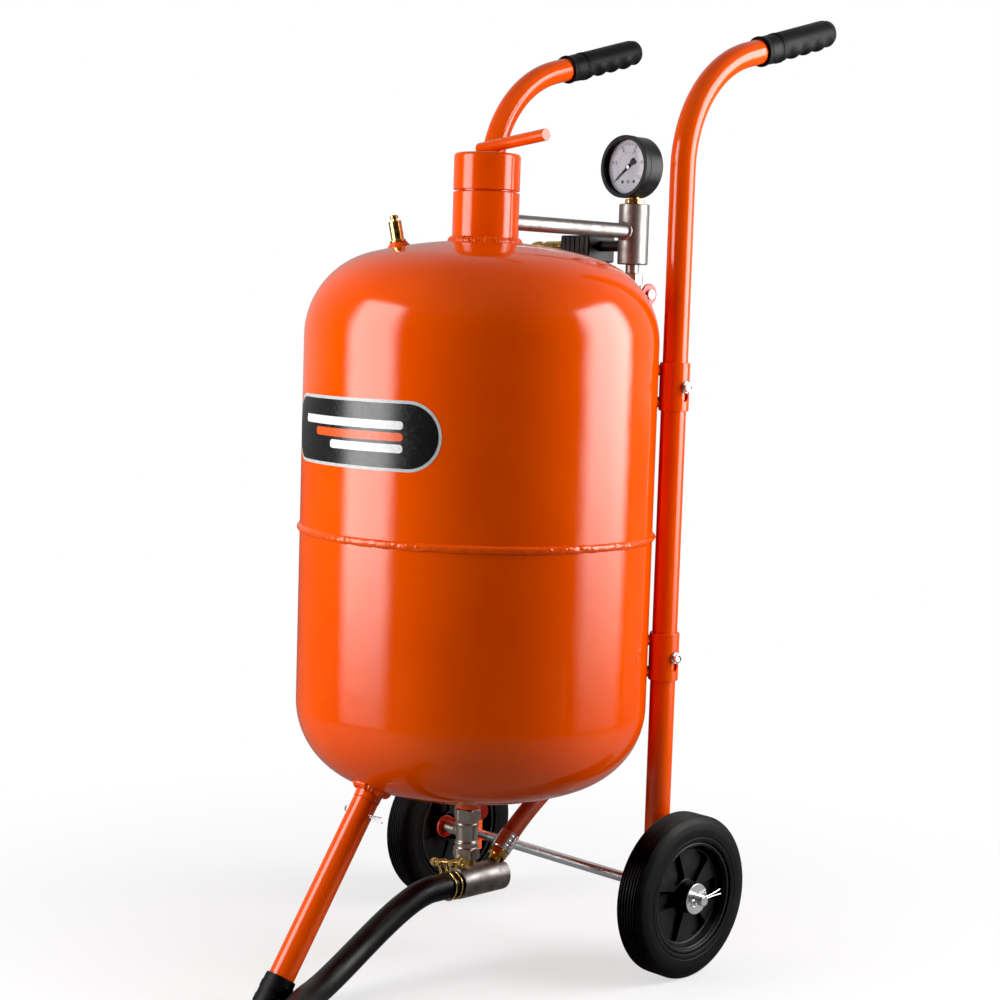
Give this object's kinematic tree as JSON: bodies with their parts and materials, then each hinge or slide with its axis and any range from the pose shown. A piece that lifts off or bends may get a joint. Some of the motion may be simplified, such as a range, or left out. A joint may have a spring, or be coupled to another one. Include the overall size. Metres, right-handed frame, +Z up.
{
  "type": "portable pressure blast pot",
  "caption": "Upright orange pressure tank for abrasive blasting on a two-wheel hand truck with front leg, screw filler cap, gauge, relief valve, ball valves and blast hose.",
  "frame": {"origin": "middle of the front foot's flat sole, on the floor", "axes": "+Z up, -Y to the front of the tank, +Y to the handles, X along the wheel axle"},
  "size_m": [0.433, 0.7299, 1.0391],
  "materials": {
    "orange_paint": "gloss powder coat",
    "machined_steel": "turned, lightly oxidised",
    "zinc_steel": "bright zinc plate",
    "nickel_plate": "satin nickel plate",
    "brass": "turned",
    "grip_rubber": "satin moulded",
    "tyre_rubber": "matt moulded",
    "black_plastic": "fine texture",
    "dial_face": "printed card",
    "lens_glass": "clear",
    "lever_vinyl": "dipped vinyl",
    "air_hose_rubber": "smooth",
    "blast_hose_rubber": "wrapped"
  },
  "bodies": {
    "pot": {"upper_shell": "orange_paint", "lower_shell": "orange_paint", "girth_weld": "orange_paint", "filler_neck": "orange_paint", "safety_boss": "orange_paint", "safety_valve_body": "brass", "handle_tube_left": "orange_paint", "handle_tube_right": "orange_paint", "grip_left": "grip_rubber", "grip_right": "grip_rubber", "bracket_lower_left": "orange_paint", "bracket_lower_right": "orange_paint", "bracket_upper_left": "orange_paint", "bracket_upper_right": "orange_paint", "bolt_lower_left": "zinc_steel", "bolt_lower_right": "zinc_steel", "bolt_upper_left": "zinc_steel", "bolt_upper_right": "zinc_steel", "axle": "zinc_steel", "washer_left": "zinc_steel", "washer_right": "zinc_steel", "split_pin_left": "zinc_steel", "split_pin_right": "zinc_steel", "leg_socket": "orange_paint", "front_leg": "orange_paint", "leg_foot": "grip_rubber", "leg_pin": "zinc_steel", "manifold_pipe": "machined_steel", "manifold_tee": "machined_steel", "manifold_nipple": "machined_steel", "gauge_socket": "brass", "gauge_case": "black_plastic", "gauge_dial": "dial_face", "gauge_lens": "lens_glass", "filter_head": "black_plastic", "filter_bowl": "black_plastic", "inlet_plug": "brass", "air_valve_body": "nickel_plate", "metering_valve_body": "nickel_plate", "sand_nipple": "brass", "mixing_tee": "machined_steel", "hose_fitting_upper": "brass", "hose_fitting_lower": "brass", "air_hose": "air_hose_rubber", "blast_hose": "blast_hose_rubber", "hose_clamp": "brass"},
    "cap_seal": {"cap_seal": "grip_rubber"},
    "cap": {"filler_cap": "orange_paint"},
    "relief_stem": {"safety_valve_stem": "brass"},
    "filter_drain": {"filter_drain": "brass"},
    "pointer": {"gauge_pointer": "black_plastic"},
    "air_handle": {"air_valve_lever": "lever_vinyl", "air_valve_ball": "zinc_steel"},
    "metering_handle": {"metering_valve_lever": "lever_vinyl", "metering_valve_ball": "zinc_steel"},
    "wheel_left": {"wheel_hub_left": "black_plastic", "tyre_left": "tyre_rubber"},
    "wheel_right": {"wheel_hub_right": "black_plastic", "tyre_right": "tyre_rubber"}
  },
  "joints": [
    {"name": "cap_lift", "type": "slide", "parent": "pot", "child": "cap_seal", "axis": [0, 0, 1], "range_m": [0, 0.0261]},
    {"name": "cap_turn", "type": "hinge", "parent": "cap_seal", "child": "cap", "pos_m": [0, 0.2695, 0.8277], "axis": [0, 0, 1], "range_deg": [0, 2340]},
    {"name": "relief_lift", "type": "slide", "parent": "pot", "child": "relief_stem", "axis": [-0.1343, -0.1391, 0.9811], "range_m": [0, 0.003]},
    {"name": "drain_push", "type": "slide", "parent": "pot", "child": "filter_drain", "axis": [0, 0, 1], "range_m": [0, 0.0035]},
    {"name": "pointer_turn", "type": "hinge", "parent": "pot", "child": "pointer", "pos_m": [0, 0.5092, 0.8686], "axis": [0, 1, 0], "range_deg": [0, 256]},
    {"name": "air_valve_turn", "type": "hinge", "parent": "pot", "child": "air_handle", "pos_m": [0.0265, 0.5005, 0.7267], "axis": [1, 0, 0], "range_deg": [0, 90]},
    {"name": "metering_valve_turn", "type": "hinge", "parent": "pot", "child": "metering_handle", "pos_m": [-0.034, 0.2695, 0.13975], "axis": [-1, 0, 0], "range_deg": [0, 90]},
    {"name": "wheel_left_spin", "type": "hinge", "parent": "pot", "child": "wheel_left", "pos_m": [-0.1837, 0.4135, 0.088], "axis": [1, 0, 0], "continuous": true},
    {"name": "wheel_right_spin", "type": "hinge", "parent": "pot", "child": "wheel_right", "pos_m": [0.1837, 0.4135, 0.088], "axis": [1, 0, 0], "continuous": true}
  ],
  "couplings": [
    {"joint": "cap_lift", "follows": "cap_turn", "m_per_rad": 0.00063662}
  ]
}
